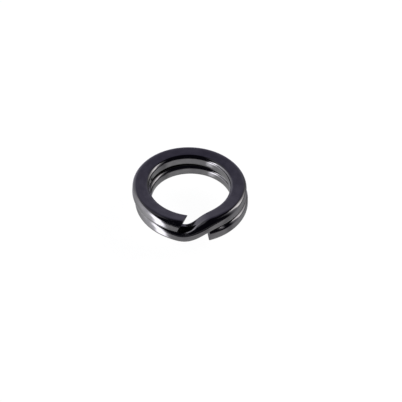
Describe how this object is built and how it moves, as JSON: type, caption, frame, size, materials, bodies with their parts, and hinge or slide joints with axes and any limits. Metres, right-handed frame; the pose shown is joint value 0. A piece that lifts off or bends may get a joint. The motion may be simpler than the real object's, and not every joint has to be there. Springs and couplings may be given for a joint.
{
  "type": "split key ring",
  "caption": "Split key ring of flattened spring wire in two full turns, with a pressed crossover at the front and two free ends that pry apart.",
  "frame": {"origin": "on the ring's axis, midway between the two turns", "axes": "+Z along the ring's axis towards the turn whose free end lies left of the crossover; -Y from the axis towards the crossover; +X to the right when looking at the crossover from outside"},
  "size_m": [0.0124, 0.0123, 0.0028],
  "materials": {
    "black_nickel": "polished"
  },
  "bodies": {
    "crossover": {"crossover": "black_nickel", "upper_front_right": "black_nickel", "lower_front_left": "black_nickel"},
    "upper_back_right": {"upper_back_right": "black_nickel"},
    "upper_back_left": {"upper_back_left": "black_nickel"},
    "upper_free_end": {"upper_free_end": "black_nickel"},
    "lower_back_left": {"lower_back_left": "black_nickel"},
    "lower_back_right": {"lower_back_right": "black_nickel"},
    "lower_free_end": {"lower_free_end": "black_nickel"}
  },
  "joints": [
    {"name": "upper_right_flex", "type": "hinge", "parent": "crossover", "child": "upper_back_right", "pos_m": [0.00502, 0, 0.00074], "axis": [-0.5538, 0.8326, -0.0004], "range_deg": [0, 3.6]},
    {"name": "upper_turn_opening", "type": "hinge", "parent": "upper_back_right", "child": "upper_back_left", "pos_m": [-0.00013, 0.00515, 0.00074], "axis": [-0.9942, 0.1074, -0.001], "range_deg": [0, 4.34], "stiffness_Nm_per_rad": 0.002, "springref_deg": -2.86},
    {"name": "upper_left_flex", "type": "hinge", "parent": "upper_back_left", "child": "upper_free_end", "pos_m": [-0.00528, 0, 0.00073], "axis": [-0.7622, -0.6473, -0.001], "range_deg": [0, 2.65]},
    {"name": "lower_left_flex", "type": "hinge", "parent": "crossover", "child": "lower_back_left", "pos_m": [-0.00502, 0, -0.00074], "axis": [0.5464, 0.8375, 0.0004], "range_deg": [0, 3.63]},
    {"name": "lower_turn_opening", "type": "hinge", "parent": "lower_back_left", "child": "lower_back_right", "pos_m": [0.00013, 0.00515, -0.00074], "axis": [0.9934, 0.1145, 0.001], "range_deg": [0, 4.34], "stiffness_Nm_per_rad": 0.002, "springref_deg": -2.86},
    {"name": "lower_right_flex", "type": "hinge", "parent": "lower_back_right", "child": "lower_free_end", "pos_m": [0.00528, 0, -0.00073], "axis": [0.7691, -0.6391, 0.001], "range_deg": [0, 2.62]}
  ],
  "couplings": [
    {"joint": "upper_right_flex", "follows": "upper_turn_opening", "ratio": 0.8274},
    {"joint": "upper_left_flex", "follows": "upper_turn_opening", "ratio": 0.60982},
    {"joint": "lower_left_flex", "follows": "lower_turn_opening", "ratio": 0.8353},
    {"joint": "lower_right_flex", "follows": "lower_turn_opening", "ratio": 0.60209}
  ]
}
